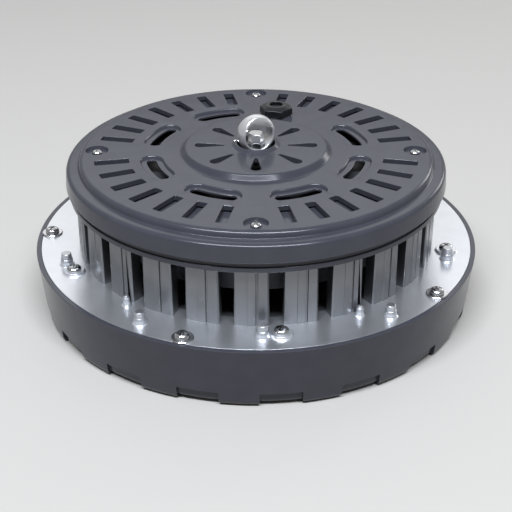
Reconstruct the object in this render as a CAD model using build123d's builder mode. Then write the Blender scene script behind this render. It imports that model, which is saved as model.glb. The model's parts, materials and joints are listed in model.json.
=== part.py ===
from build123d import *
from math import cos, radians, sin, sqrt
import os

# A round high bay light, standing on the front of its bezel with the hanging ring on top.
# Millimetres, +Z up, origin in the middle of the bezel's front face, on the surface it stands on.

# Bezel: the dark cast ring that holds the front lens
bezel_radius = 160.0
bezel_depth = 44.5
bezel_draft = 4.5
bezel_wall = 5.0
bezel_front = 4.5
bezel_round = 5.0
bezel_rim = 3.4
front_width = 32.5
channel_wall = 3.0
boss_radius = 5.5
pocket_count = 18
pocket_width = 28.0
pocket_depth = 1.8
pocket_height = 10.5
pocket_reach = 10.5
pocket_corner = 6.0
pocket_angle = -84.0

# Front lens, its gaskets and the reflector behind it
lens_land = 4.0
lens_lip = 2.6
lens_recess = 0.8
lens_flange = 2.5
gasket_thickness = 1.2
seal_thickness = 1.4
reflector_wall = 1.6
reflector_foot = 7.0
reflector_inset = 2.0

# Light-emitting board on the underside of the heat sink
board_margin = 11.0
board_thickness = 1.6
led_size = 5.0
led_height = 0.8
led_rings = 3
led_first_radius = 36.0
led_margin = 18.0
led_first_count = 12
led_count_step = 8
led_angle = 7.5
board_screw_inset = 12.0
board_screw_count = 6
board_screw_angle = 30.0
lead_circle = 18.0
lead_hole_radius = 5.0
lead_radius = 1.3
lead_pitch = 3.0
grommet_flange = 2.4
terminal_length = 20.0
terminal_width = 14.0
terminal_height = 5.0

# Heat sink: flange plate, ring of columns, fins and posts in one casting
plate_thickness = 4.0
plate_clearance = 0.2
plate_chamfer = 0.6
flange_width = 27.6
column_count = 25
column_depth = 10.0
column_height = 43.5
column_skin = 3.5
column_pocket = 15.0
column_chamfer = 1.2
column_groove = 1.6
groove_place = 2.8
column_step = 0.45
step_place = 3.4
gap_width = 9.2
gap_draft = 0.75
gap_angle = -83.8
fin_thickness = 2.4
fin_height = 10.0
fin_inner_radius = 34.0
fin_margin = 3.0
flange_screw_count = 5
flange_screw_inset = 6.3
flange_screw_angle = -108.0
pad_radius = 7.25
pad_height = 1.8
pad_offset = 10.0
pad_angle = -83.3
stud_radius = 4.2
stud_height = 9.0
stud_offset = 12.0
stud_lag = 5.0
post_radius = 3.8
post_height = 8.5
post_offset = 16.5
post_angles = [-121.0, -53.0, 23.0, 91.0]
pin_radius = 2.3
pin_height = 7.0
pin_offset = 4.2
pin_angles = [-130.0, -59.5, 14.0, 84.5]

# Driver in a round tray with a lid, on posts above the fins
tray_gap = 3.2
tray_wall = 2.5
tray_lift = 3.5
tray_post_inset = 13.0
tray_post_radius = 5.0
tray_post_count = 4
tray_post_angle = 40.0
lid_thickness = 2.0
lid_screw_inset = 9.0
lid_screw_count = 6
lid_screw_angle = 15.0
lid_boss_radius = 4.5
circuit_thickness = 1.6
circuit_lift = 5.0
circuit_clearance = 14.0
circuit_post_circle = 60.0
circuit_post_radius = 3.0
core_size = 36.0
core_height = 20.0
core_place = 30.0
core_chamfer = 4.5
capacitor_radius = 9.0
capacitor_height = 18.0
capacitor_count = 3
capacitor_pitch = 22.0
capacitor_place = 34.0
mains_length = 24.0
mains_width = 13.0
mains_height = 6.0
mains_circle = 42.0
mains_angle = 100.0

# Slotted cover
cover_wall = 3.4
cover_height = 22.8
cover_round = 1.0
cover_air = 9.4
ledge_drop = 4.8
ledge_width = 8.8
side_draft = 1.0
side_wall = 3.1
side_height = 4.4
side_foot = 2.0
side_foot_slope = 0.9
skirt_wall = 3.5
skirt_lip = 2.5
skirt_lip_wall = 1.2
skirt_clearance = 0.2
drip_gap = 1.8
cover_screw_count = 4
cover_screw_angle = 0.0
cover_boss_radius = 5.0
cover_boss_gap = 0.8
screw_recess_radius = 8.2
screw_recess_depth = 1.2
vent_divisions = 32
vent_margin = 11.0
vent_length = 24.0
vent_width = 7.4
shield_margin = 4.5
shield_drop = 1.4
shield_wall = 1.2
shield_gap = 0.6
arc_count = 8
arc_start = 22.5
arc_gap = 7.5
arc_slot_width = 7.0
arc_slot_span = 20.5
arc_recess_width = 16.5
arc_recess_span = 18.5
arc_recess_depth = 2.0
disc_radius = 50.2
disc_height = 4.2
disc_slope = 3.3
petal_count = 8
petal_angle = 0.0
petal_outer_radius = 43.5
petal_inner_radius = 22.5
petal_outer_width = 7.4
petal_inner_width = 2.2
hub_slope = 1.9
hub_height = 2.0
hub_lip = 1.0
hub_drop = 5.4
hub_boss_radius = 8.0
cup_depth = 6.0
cup_clearance = 0.95

# Hanging ring, turned on the cover's axis, with the bolt that holds it
ring_radius = 13.6
ring_bore_radius = 10.3
ring_width = 12.0
ring_face_wall = 1.5
ring_foot = 0.6
ring_crown_width = 6.4
ring_crown_drop = 8.0
ring_turn = 25.0
ring_spot_depth = 0.5
ring_bolt_radius = 4.0
ring_bolt_length = 15.5
ring_bolt_flats = 10.0
ring_bolt_head = 6.0
ring_bolt_chamfer = 0.75
ring_nut_flats = 11.0
ring_nut_height = 4.4
lock_screw_radius = 1.2
lock_screw_length = 3.4
lock_screw_angle = 163.0

# Cable gland
gland_inset = 4.05
gland_angle = 77.5
gland_flats = 22.0
gland_hex_height = 5.2
gland_dome = 2.0
gland_rim = 2.4
gland_bore_radius = 5.0
gland_bore_depth = 3.0
gland_stem_radius = 8.0
gland_stem_length = 5.4
gland_washer_thickness = 0.9
seal_bore_radius = 4.3
seal_wall = 1.9
seal_length = 9.0
locknut_flats = 20.0
locknut_height = 3.0

# Screws: the shares are of a head's own radius and height
washer_radius = 7.5
washer_thickness = 1.2
flange_screw_head = 5.0
flange_screw_height = 3.2
flange_screw_shank = 2.5
flange_screw_length = 22.0
pad_screw_head = 5.0
pad_screw_height = 3.0
pad_screw_shank = 2.5
pad_screw_length = 16.0
cover_screw_head = 3.6
cover_screw_height = 2.2
cover_screw_shank = 2.0
cover_screw_length = 30.0
tray_screw_head = 3.6
tray_screw_height = 2.2
tray_screw_shank = 2.0
tray_screw_length = 10.0
lid_screw_head = 2.8
lid_screw_height = 1.8
lid_screw_shank = 1.5
lid_screw_length = 9.0
board_screw_head = 2.8
board_screw_height = 1.8
board_screw_shank = 1.5
board_screw_length = 4.4
head_side = 0.4
head_bulge_radius = 0.88
head_bulge_height = 0.82
head_flat = 0.64
recess_length = 1.1
recess_width = 1.2
recess_depth = 0.6
hole_clearance = 0.15
hole_end = 1.0
cut_margin = 1.0
fit_clearance = 0.3

# Heights of the stack, from the surface that the bezel stands on
plate_top = bezel_depth
plate_bottom = plate_top - plate_thickness
board_bottom = plate_bottom - board_thickness
lens_back = lens_lip + gasket_thickness + lens_flange
column_top = plate_top + column_height
cover_top = column_top + cover_height
cover_under = cover_top - cover_wall
ledge_top = cover_top - ledge_drop
ledge_under = ledge_top - cover_wall
side_widest = column_top + side_height
side_bottom = column_top + side_foot
tray_bottom = plate_top + fin_height + tray_lift
lid_top = cover_under - cover_air
tray_top = lid_top - lid_thickness
circuit_bottom = tray_bottom + tray_wall + circuit_lift
circuit_top = circuit_bottom + circuit_thickness
disc_top = cover_top + disc_height
disc_under = disc_top - cover_wall
hub_top = disc_top + hub_height
cup_floor = hub_top - cup_depth
hub_bottom = cover_under - hub_drop
shield_top = cover_under - shield_drop
ring_middle = cup_floor + ring_radius - ring_foot
ring_spot = ring_middle - ring_bore_radius + ring_spot_depth
ring_bolt_seat = ring_spot + ring_nut_height
gland_base = cover_top + gland_washer_thickness
gland_top = gland_base + gland_hex_height + gland_dome
seal_top = gland_top - gland_bore_depth

# Radii and circles, from the bezel inwards
plate_radius = bezel_radius - bezel_rim
front_radius = bezel_radius - bezel_draft
lens_radius = front_radius - front_width
lens_seat_radius = lens_radius + lens_land
channel_radius = lens_seat_radius + channel_wall
board_radius = lens_seat_radius - board_margin
board_screw_circle = board_radius - board_screw_inset
column_radius = plate_radius - flange_width
column_inner_radius = column_radius - column_depth
column_half = column_radius * sin(radians(180 / column_count)) - gap_width / 2
column_angle = gap_angle + 180 / column_count
fin_outer_radius = column_inner_radius - fin_margin
flange_screw_circle = plate_radius - flange_screw_inset
pad_circle = column_radius + pad_offset
stud_circle = column_radius + stud_offset
post_circle = column_radius + post_offset
pin_circle = column_radius + pin_offset
skirt_radius = column_radius + skirt_clearance + skirt_lip_wall
drip_radius = skirt_radius + drip_gap
cover_radius = drip_radius + side_wall
ledge_radius = cover_radius - side_draft
cover_top_radius = ledge_radius - ledge_width
cover_screw_circle = column_inner_radius - cover_boss_radius - cover_boss_gap
tray_radius = cover_screw_circle - cover_boss_radius - tray_gap
tray_post_circle = tray_radius - tray_post_inset
lid_screw_circle = tray_radius - lid_screw_inset
circuit_radius = tray_radius - tray_wall - circuit_clearance
vent_outer_radius = cover_top_radius - vent_margin
vent_circle = vent_outer_radius - vent_length / 2
shield_inner_radius = vent_outer_radius - vent_length - shield_margin
shield_outer_radius = cover_top_radius - cover_wall - shield_gap
arc_circle = vent_outer_radius - vent_length - arc_gap - arc_recess_width / 2
gland_circle = arc_circle - gland_inset
ring_chord = sqrt(ring_radius**2 - (ring_middle - hub_top) ** 2)
cup_radius = ring_chord + cup_clearance
hub_radius = cup_radius + hub_lip + hub_slope
ring_face_radius = ring_bore_radius + ring_face_wall
ring_spot_radius = ring_nut_flats / sqrt(3) + fit_clearance


def polar(radius, angle, height=0.0):
    """A place at an angle round the axis, turned to face outwards."""
    return Location((radius * cos(radians(angle)), radius * sin(radians(angle)), height), (0, 0, angle))


def spread(radius, count, start, height=0.0):
    """Evenly spaced places round the axis."""
    return [polar(radius, start + 360.0 * number / count, height) for number in range(count)]


def save(piece, name):
    piece.label = name
    export_step(piece, "parts/" + name + ".step")


def domed_screw(head, height, shank, length):
    """A screw that seats at height 0, with a domed head and a cross recess."""
    with BuildPart() as screw:
        with BuildSketch(Plane.XZ):
            with BuildLine():
                crown = ThreePointArc(
                    (head, head_side * height),
                    (head_bulge_radius * head, head_bulge_height * height),
                    (head_flat * head, height),
                )
                Polyline(
                    crown @ 1,
                    (0, height),
                    (0, -length),
                    (shank, -length),
                    (shank, 0),
                    (head, 0),
                    crown @ 0,
                )
            make_face()
        revolve(axis=Axis.Z)
        with BuildSketch(Plane.XY.offset(height)):
            Rectangle(recess_length * head, recess_width)
            Rectangle(recess_width, recess_length * head)
        extrude(amount=-recess_depth * height, mode=Mode.SUBTRACT)
    return screw.part


def placed(piece, places):
    """Copies of one piece at a list of places, kept as separate solids."""
    return Compound(children=[piece.moved(place) for place in places])


os.makedirs("parts", exist_ok=True)

flange_screws_at = spread(flange_screw_circle, flange_screw_count, flange_screw_angle)
pad_screws_at = spread(pad_circle, flange_screw_count, pad_angle)
cover_screws_at = spread(cover_screw_circle, cover_screw_count, cover_screw_angle)
tray_posts_at = spread(tray_post_circle, tray_post_count, tray_post_angle)
lid_screws_at = spread(lid_screw_circle, lid_screw_count, lid_screw_angle)
board_screws_at = spread(board_screw_circle, board_screw_count, board_screw_angle)
lead_place = polar(lead_circle, 0.0)

# Tool for one pocket in the bezel's front edge: a block that is rounded seen from the front
# and seen from the side, less all that lies deeper than the pocket's floor.
floor_front = front_radius - pocket_depth
floor_rear = bezel_radius - pocket_depth
with BuildPart() as pocket_tool:
    with BuildSketch(Plane.XY.offset(-pocket_height)):
        with Locations((front_radius - pocket_reach + bezel_wall + pocket_width / 2, 0)):
            RectangleRounded(2 * bezel_wall + pocket_width, pocket_width, pocket_corner)
    extrude(amount=3 * pocket_height)
    with BuildSketch(Plane.YZ.offset(lens_radius)):
        with Locations((0, pocket_height - bezel_depth / 2)):
            RectangleRounded(pocket_width, bezel_depth, pocket_corner)
    extrude(amount=bezel_radius, mode=Mode.INTERSECT)
    with BuildSketch(Plane.XZ):
        with BuildLine():
            FilletPolyline(
                (0, pocket_depth),
                (floor_front, pocket_depth),
                (floor_rear, bezel_depth),
                radius=bezel_round - pocket_depth,
            )
            Polyline((floor_rear, bezel_depth), (0, bezel_depth), (0, pocket_depth))
        make_face()
    revolve(axis=Axis.Z, mode=Mode.SUBTRACT)

# Bezel: channel-shaped ring with screw bosses in the channel and pockets in its front edge
with BuildPart() as bezel_ring:
    with BuildSketch(Plane.XZ):
        with BuildLine():
            FilletPolyline(
                (lens_radius, 0),
                (front_radius, 0),
                (bezel_radius, bezel_depth),
                radius=bezel_round,
            )
            Polyline(
                (bezel_radius, bezel_depth),
                (plate_radius, bezel_depth),
                (plate_radius, plate_bottom),
                (front_radius - bezel_wall, plate_bottom),
                (front_radius - bezel_wall, bezel_front),
                (channel_radius, bezel_front),
                (channel_radius, plate_bottom - seal_thickness),
                (lens_seat_radius, plate_bottom - seal_thickness),
                (lens_seat_radius, lens_lip),
                (lens_radius, lens_lip),
                (lens_radius, 0),
            )
        make_face()
    revolve(axis=Axis.Z)
    with BuildSketch(Plane.XY.offset(bezel_front)):
        with Locations(*flange_screws_at, *pad_screws_at):
            Circle(boss_radius)
    extrude(amount=plate_bottom - bezel_front)
    with BuildSketch(Plane.XY.offset(plate_bottom)):
        with Locations(*flange_screws_at):
            Circle(flange_screw_shank + hole_clearance)
    extrude(amount=plate_thickness + washer_thickness - flange_screw_length - hole_end, mode=Mode.SUBTRACT)
    with BuildSketch(Plane.XY.offset(plate_bottom)):
        with Locations(*pad_screws_at):
            Circle(pad_screw_shank + hole_clearance)
    extrude(amount=plate_thickness + pad_height - pad_screw_length - hole_end, mode=Mode.SUBTRACT)
    for tool_place in spread(0.0, pocket_count, pocket_angle):
        add(pocket_tool.part.moved(tool_place), mode=Mode.SUBTRACT)
save(bezel_ring.part, "bezel_ring")

# Front lens: a disc that fills the opening, with a flange clamped behind the lip
with BuildPart() as front_lens:
    with BuildSketch(Plane.XY.offset(lens_recess)):
        Circle(lens_radius - fit_clearance)
    extrude(amount=lens_back - lens_recess)
    with BuildSketch(Plane.XY.offset(lens_lip + gasket_thickness)):
        Circle(lens_seat_radius - fit_clearance)
    extrude(amount=lens_flange)
save(front_lens.part, "front_lens")

with BuildPart() as lens_gasket:
    with BuildSketch(Plane.XY.offset(lens_lip)):
        Circle(lens_seat_radius - fit_clearance)
        Circle(lens_radius, mode=Mode.SUBTRACT)
    extrude(amount=gasket_thickness)
save(lens_gasket.part, "lens_gasket")

with BuildPart() as bezel_gasket:
    with BuildSketch(Plane.XY.offset(plate_bottom - seal_thickness)):
        Circle(channel_radius)
        Circle(lens_seat_radius, mode=Mode.SUBTRACT)
    extrude(amount=seal_thickness)
save(bezel_gasket.part, "bezel_gasket")

# Reflector: a cone with a flat foot that keeps the lens down on its gasket
reflector_top_radius = board_radius - reflector_inset
reflector_foot_radius = lens_seat_radius - fit_clearance - reflector_foot
with BuildPart() as reflector:
    with BuildSketch(Plane.XZ):
        with BuildLine():
            Polyline(
                (reflector_foot_radius, lens_back),
                (lens_seat_radius - fit_clearance, lens_back),
                (lens_seat_radius - fit_clearance, lens_back + reflector_wall),
                (reflector_foot_radius + reflector_wall, lens_back + reflector_wall),
                (reflector_top_radius, board_bottom),
                (reflector_top_radius - reflector_wall, board_bottom),
                close=True,
            )
        make_face()
    revolve(axis=Axis.Z)
save(reflector.part, "reflector")

# Light-emitting board with its diodes, terminal and screws
with BuildPart() as led_board:
    with BuildSketch(Plane.XY.offset(board_bottom)):
        Circle(board_radius)
        with Locations(lead_place):
            Circle(lead_hole_radius, mode=Mode.SUBTRACT)
        with Locations(*board_screws_at):
            Circle(board_screw_shank + hole_clearance, mode=Mode.SUBTRACT)
    extrude(amount=board_thickness)
save(led_board.part, "led_board")

led_ring_pitch = (board_screw_circle - led_margin - led_first_radius) / (led_rings - 1)
with BuildPart() as led_chips:
    with BuildSketch(Plane.XY.offset(board_bottom)):
        for ring in range(led_rings):
            led_circle = led_first_radius + ring * led_ring_pitch
            led_count = led_first_count + ring * led_count_step
            with Locations(*spread(led_circle, led_count, led_angle)):
                Rectangle(led_size, led_size)
    extrude(amount=-led_height)
save(led_chips.part, "led_chips")

with BuildPart() as board_terminal:
    with BuildSketch(Plane.XY.offset(board_bottom)):
        with Locations(lead_place):
            Rectangle(terminal_length, terminal_width)
    extrude(amount=-terminal_height)
save(board_terminal.part, "board_terminal")

board_screw = domed_screw(board_screw_head, board_screw_height, board_screw_shank, board_screw_length)
board_screw_turn = Location((0, 0, board_bottom), (180, 0, 0))
board_screws = placed(board_screw, [place * board_screw_turn for place in board_screws_at])
save(board_screws, "board_screws")

# Heat sink: plate, columns with their gaps, grooves and hollow backs, fins, posts and studs
gap_inner = column_inner_radius - gap_width / 2
gap_outer = column_radius + gap_width / 2
hollow_circle = column_inner_radius + (column_depth - column_skin) / 2
with BuildPart() as heat_sink:
    with BuildSketch(Plane.XY.offset(plate_bottom)):
        Circle(plate_radius - plate_clearance)
    extrude(amount=plate_thickness)
    chamfer(heat_sink.edges().group_by(Axis.Z)[-1], plate_chamfer)
    with BuildSketch(Plane.XY.offset(plate_top)):
        Circle(column_radius)
        Circle(column_inner_radius, mode=Mode.SUBTRACT)
    extrude(amount=column_height)
    with BuildSketch(Plane.XY.offset(column_top)):
        with Locations(*spread(0.0, column_count, gap_angle)):
            Polygon(
                (gap_inner, -gap_width / 2),
                (column_radius - column_chamfer, -gap_width / 2),
                (column_radius, -gap_width / 2 - column_chamfer),
                (gap_outer, -gap_width / 2 - column_chamfer),
                (gap_outer, gap_width / 2 + column_chamfer),
                (column_radius, gap_width / 2 + column_chamfer),
                (column_radius - column_chamfer, gap_width / 2),
                (gap_inner, gap_width / 2),
                align=None,
            )
    extrude(amount=-column_height, taper=gap_draft, mode=Mode.SUBTRACT)
    with BuildSketch(Plane.XY.offset(plate_top)):
        with Locations(*spread(hollow_circle, column_count, column_angle)):
            Rectangle(column_depth - column_skin + hole_end, column_pocket)
        with Locations(*spread(column_radius, column_count, column_angle)):
            with Locations((0, groove_place)):
                Rectangle(2 * column_skin, column_groove)
            with Locations((column_skin - column_step, -(step_place + column_half) / 2)):
                Rectangle(2 * column_skin, column_half - step_place)
    extrude(amount=column_height, mode=Mode.SUBTRACT)
    with BuildSketch(Plane.XY.offset(plate_top)):
        with Locations(*spread((fin_inner_radius + fin_outer_radius) / 2, column_count, column_angle)):
            Rectangle(fin_outer_radius - fin_inner_radius, fin_thickness)
    extrude(amount=fin_height)
    with BuildSketch(Plane.XY.offset(plate_top)):
        with Locations(*cover_screws_at):
            Circle(cover_boss_radius)
    extrude(amount=column_height)
    with BuildSketch(Plane.XY.offset(plate_top)):
        with Locations(*tray_posts_at):
            Circle(tray_post_radius)
    extrude(amount=tray_bottom - plate_top)
    with BuildSketch(Plane.XY.offset(plate_top)):
        with Locations(*pad_screws_at):
            Circle(pad_radius)
    extrude(amount=pad_height)
    with BuildSketch(Plane.XY.offset(plate_top)):
        with Locations(*spread(stud_circle, flange_screw_count, pad_angle - stud_lag)):
            Circle(stud_radius)
    extrude(amount=stud_height)
    with BuildSketch(Plane.XY.offset(plate_top)):
        with Locations(*[polar(post_circle, angle) for angle in post_angles]):
            Circle(post_radius)
    extrude(amount=post_height)
    with BuildSketch(Plane.XY.offset(plate_top)):
        with Locations(*[polar(pin_circle, angle) for angle in pin_angles]):
            Circle(pin_radius)
    extrude(amount=pin_height)
    with BuildSketch(Plane.XY.offset(plate_bottom)):
        with Locations(*flange_screws_at):
            Circle(flange_screw_shank + hole_clearance)
        with Locations(*pad_screws_at):
            Circle(pad_screw_shank + hole_clearance)
        with Locations(lead_place):
            Circle(lead_hole_radius)
    extrude(amount=plate_thickness + pad_height, mode=Mode.SUBTRACT)
    with BuildSketch(Plane.XY.offset(plate_bottom)):
        with Locations(*board_screws_at):
            Circle(board_screw_shank + hole_clearance)
    extrude(amount=board_screw_length - board_thickness + fit_clearance, mode=Mode.SUBTRACT)
    with BuildSketch(Plane.XY.offset(tray_bottom)):
        with Locations(*tray_posts_at):
            Circle(tray_screw_shank + hole_clearance)
    extrude(amount=tray_wall - tray_screw_length - hole_end, mode=Mode.SUBTRACT)
    with BuildSketch(Plane.XY.offset(column_top)):
        with Locations(*cover_screws_at):
            Circle(cover_screw_shank + hole_clearance)
    extrude(amount=cover_height - screw_recess_depth - cover_screw_length - hole_end, mode=Mode.SUBTRACT)
save(heat_sink.part, "heat_sink")

# Screws through the flange plate: a ring with washers on the rim, and a ring on the raised pads
with BuildPart() as washer:
    with BuildSketch():
        Circle(washer_radius)
        Circle(flange_screw_shank + hole_clearance, mode=Mode.SUBTRACT)
    extrude(amount=washer_thickness)
    chamfer(washer.edges().group_by(Axis.Z)[-1].sort_by(SortBy.LENGTH)[-1], washer_thickness / 2)
save(
    placed(washer.part, spread(flange_screw_circle, flange_screw_count, flange_screw_angle, plate_top)),
    "flange_washers",
)

flange_screw = domed_screw(flange_screw_head, flange_screw_height, flange_screw_shank, flange_screw_length)
flange_screw_seat = plate_top + washer_thickness
flange_screw_places = spread(flange_screw_circle, flange_screw_count, flange_screw_angle, flange_screw_seat)
save(placed(flange_screw, flange_screw_places), "flange_screws")

pad_screw = domed_screw(pad_screw_head, pad_screw_height, pad_screw_shank, pad_screw_length)
pad_screw_places = spread(pad_circle, flange_screw_count, pad_angle, plate_top + pad_height)
save(placed(pad_screw, pad_screw_places), "pad_screws")

# Leads from the driver to the board, through a grommet in the plate
with BuildPart() as lead_grommet:
    with BuildSketch(Plane.XY.offset(plate_bottom)):
        with Locations(lead_place):
            Circle(lead_hole_radius)
    extrude(amount=plate_thickness)
    with BuildSketch(Plane.XY.offset(plate_top)):
        with Locations(lead_place):
            Circle(lead_hole_radius + grommet_flange)
    extrude(amount=grommet_flange)
    with BuildSketch(Plane.XY.offset(plate_bottom)):
        with Locations(lead_place):
            Circle(lead_pitch / 2 + lead_radius + fit_clearance)
    extrude(amount=plate_thickness + grommet_flange, mode=Mode.SUBTRACT)
save(lead_grommet.part, "lead_grommet")

with BuildPart() as output_leads:
    with BuildSketch(Plane.XY.offset(board_bottom)):
        with Locations(lead_place):
            with Locations((0, -lead_pitch / 2), (0, lead_pitch / 2)):
                Circle(lead_radius)
    extrude(amount=tray_bottom - board_bottom)
save(output_leads.part, "output_leads")

# Driver: tray, circuit with its coil and capacitors, lid and screws
with BuildPart() as driver_tray:
    with BuildSketch(Plane.XY.offset(tray_bottom)):
        Circle(tray_radius)
    extrude(amount=tray_top - tray_bottom)
    with BuildSketch(Plane.XY.offset(tray_bottom + tray_wall)):
        Circle(tray_radius - tray_wall)
    extrude(amount=tray_top - tray_bottom, mode=Mode.SUBTRACT)
    with BuildSketch(Plane.XY.offset(tray_bottom + tray_wall)):
        with Locations(*lid_screws_at):
            Circle(lid_boss_radius)
    extrude(amount=tray_top - tray_bottom - tray_wall)
    with BuildSketch(Plane.XY.offset(tray_bottom + tray_wall)):
        with Locations(*spread(circuit_post_circle, tray_post_count, tray_post_angle)):
            Circle(circuit_post_radius)
    extrude(amount=circuit_lift)
    with BuildSketch(Plane.XY.offset(tray_bottom)):
        with Locations(*tray_posts_at):
            Circle(tray_screw_shank + hole_clearance)
    extrude(amount=tray_wall, mode=Mode.SUBTRACT)
    with BuildSketch(Plane.XY.offset(tray_top)):
        with Locations(*lid_screws_at):
            Circle(lid_screw_shank + hole_clearance)
    extrude(amount=lid_thickness - lid_screw_length - hole_end, mode=Mode.SUBTRACT)
save(driver_tray.part, "driver_tray")

tray_screw = domed_screw(tray_screw_head, tray_screw_height, tray_screw_shank, tray_screw_length)
tray_screw_seat = tray_bottom + tray_wall
tray_screw_places = spread(tray_post_circle, tray_post_count, tray_post_angle, tray_screw_seat)
save(placed(tray_screw, tray_screw_places), "tray_screws")

with BuildPart() as driver_circuit:
    with BuildSketch(Plane.XY.offset(circuit_bottom)):
        Circle(circuit_radius)
    extrude(amount=circuit_thickness)
save(driver_circuit.part, "driver_circuit")

with BuildPart() as driver_coil:
    with BuildSketch(Plane.XY.offset(circuit_top)):
        with Locations((core_place, 0)):
            Rectangle(core_size, core_size)
    extrude(amount=core_height)
    chamfer(driver_coil.edges().filter_by(Axis.Z), core_chamfer)
save(driver_coil.part, "driver_coil")

with BuildPart() as driver_capacitors:
    with BuildSketch(Plane.XY.offset(circuit_top)):
        with Locations((-capacitor_place, 0)):
            with GridLocations(capacitor_pitch, capacitor_pitch, 1, capacitor_count):
                Circle(capacitor_radius)
    extrude(amount=capacitor_height)
save(driver_capacitors.part, "driver_capacitors")

with BuildPart() as driver_lid:
    with BuildSketch(Plane.XY.offset(tray_top)):
        Circle(tray_radius)
        with Locations(*lid_screws_at):
            Circle(lid_screw_shank + hole_clearance, mode=Mode.SUBTRACT)
    extrude(amount=lid_thickness)
save(driver_lid.part, "driver_lid")

lid_screw = domed_screw(lid_screw_head, lid_screw_height, lid_screw_shank, lid_screw_length)
save(placed(lid_screw, spread(lid_screw_circle, lid_screw_count, lid_screw_angle, lid_top)), "lid_screws")

with BuildPart() as mains_terminal:
    with BuildSketch(Plane.XY.offset(lid_top)):
        with Locations(polar(mains_circle, mains_angle)):
            Rectangle(mains_width, mains_length)
    extrude(amount=mains_height)
save(mains_terminal.part, "mains_terminal")

# Cover: a stepped cap with a double skirt, a raised disc, a cup for the ring and its vents
vent_step = 360.0 / vent_divisions
vent_skip = vent_divisions // cover_screw_count
vent_angles = [number * vent_step for number in range(vent_divisions) if number % vent_skip]
arc_step = 360.0 / arc_count
arc_angles = [arc_start + number * arc_step for number in range(arc_count)]
arc_angles = [angle for angle in arc_angles if abs(angle - gland_angle) > arc_step / 2]
cup_under = cup_floor - cover_wall
cup_outer_radius = cup_radius + cover_wall
petal_out = petal_outer_radius - petal_outer_width / 2
petal_in = petal_inner_radius + petal_inner_width / 2
with BuildPart() as top_cover:
    with BuildSketch(Plane.XZ):
        with BuildLine():
            Polyline(
                (0, cup_floor),
                (cup_radius, cup_floor),
                (cup_radius, hub_top),
                (cup_radius + hub_lip, hub_top),
                (hub_radius, disc_top),
            )
            FilletPolyline(
                (hub_radius, disc_top),
                (disc_radius, disc_top),
                (disc_radius + disc_slope, cover_top),
                (cover_top_radius, cover_top),
                (cover_top_radius, ledge_top),
                radius=cover_round,
            )
            FilletPolyline(
                (cover_top_radius, ledge_top),
                (ledge_radius, ledge_top),
                (cover_radius, side_widest),
                radius=cover_round,
            )
            Polyline(
                (cover_radius, side_widest),
                (cover_radius - side_foot_slope, side_bottom),
                (drip_radius, side_bottom),
                (drip_radius, ledge_under),
                (skirt_radius, ledge_under),
                (skirt_radius, column_top - skirt_lip),
                (column_radius + skirt_clearance, column_top - skirt_lip),
                (column_radius + skirt_clearance, column_top),
                (skirt_radius - skirt_wall, column_top),
                (skirt_radius - skirt_wall, ledge_under),
                (cover_top_radius - cover_wall, ledge_under),
                (cover_top_radius - cover_wall, cover_under),
                (disc_radius, cover_under),
                (disc_radius - disc_slope, disc_under),
                (cup_outer_radius, disc_under),
                (cup_outer_radius, cup_under),
                (hub_boss_radius, cup_under),
                (hub_boss_radius, hub_bottom),
                (0, hub_bottom),
                (0, cup_floor),
            )
        make_face()
    revolve(axis=Axis.Z)
    with BuildSketch(Plane.XY.offset(column_top)):
        with Locations(*cover_screws_at):
            Circle(cover_boss_radius)
    extrude(amount=cover_under - column_top)
    with BuildSketch(Plane.XY.offset(cover_under)):
        with Locations(*[polar(vent_circle, angle) for angle in vent_angles]):
            Rectangle(vent_length, vent_width)
        for angle in arc_angles:
            slot_line = CenterArc((0, 0), arc_circle, angle - arc_slot_span / 2, arc_slot_span)
            SlotArc(slot_line, arc_slot_width)
        with Locations(polar(gland_circle, gland_angle)):
            Circle(gland_stem_radius + hole_clearance)
    extrude(amount=cover_wall, mode=Mode.SUBTRACT)
    with BuildSketch(Plane.XY.offset(cover_top)):
        for angle in arc_angles:
            recess_line = CenterArc((0, 0), arc_circle, angle - arc_recess_span / 2, arc_recess_span)
            SlotArc(recess_line, arc_recess_width)
    extrude(amount=-arc_recess_depth, mode=Mode.SUBTRACT)
    with BuildSketch(Plane.XY.offset(cover_top)):
        with Locations(*cover_screws_at):
            Circle(screw_recess_radius)
    extrude(amount=-screw_recess_depth, mode=Mode.SUBTRACT)
    with BuildSketch(Plane.XY.offset(column_top)):
        with Locations(*cover_screws_at):
            Circle(cover_screw_shank + hole_clearance)
    extrude(amount=cover_height, mode=Mode.SUBTRACT)
    for petal_place in spread(0.0, petal_count, petal_angle):
        with BuildSketch(Plane(petal_place).offset(disc_under)):
            with Locations((petal_out, 0)):
                Circle(petal_outer_width / 2)
            with Locations((petal_in, 0)):
                Circle(petal_inner_width / 2)
            make_hull()
        extrude(amount=cover_wall, mode=Mode.SUBTRACT)
    with BuildSketch(Plane.XY.offset(cup_floor)):
        Circle(ring_bolt_radius + hole_clearance)
    extrude(amount=ring_bolt_seat - ring_bolt_length - hole_end - cup_floor, mode=Mode.SUBTRACT)
    with BuildSketch(Plane.YZ):
        with Locations((0, disc_top + hub_height / 2)):
            Circle(lock_screw_radius + hole_clearance)
    lock_hole = extrude(amount=hub_radius + lock_screw_length, mode=Mode.PRIVATE)
    add(lock_hole.moved(Location((0, 0, 0), (0, 0, lock_screw_angle))), mode=Mode.SUBTRACT)
save(top_cover.part, "top_cover")

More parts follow.
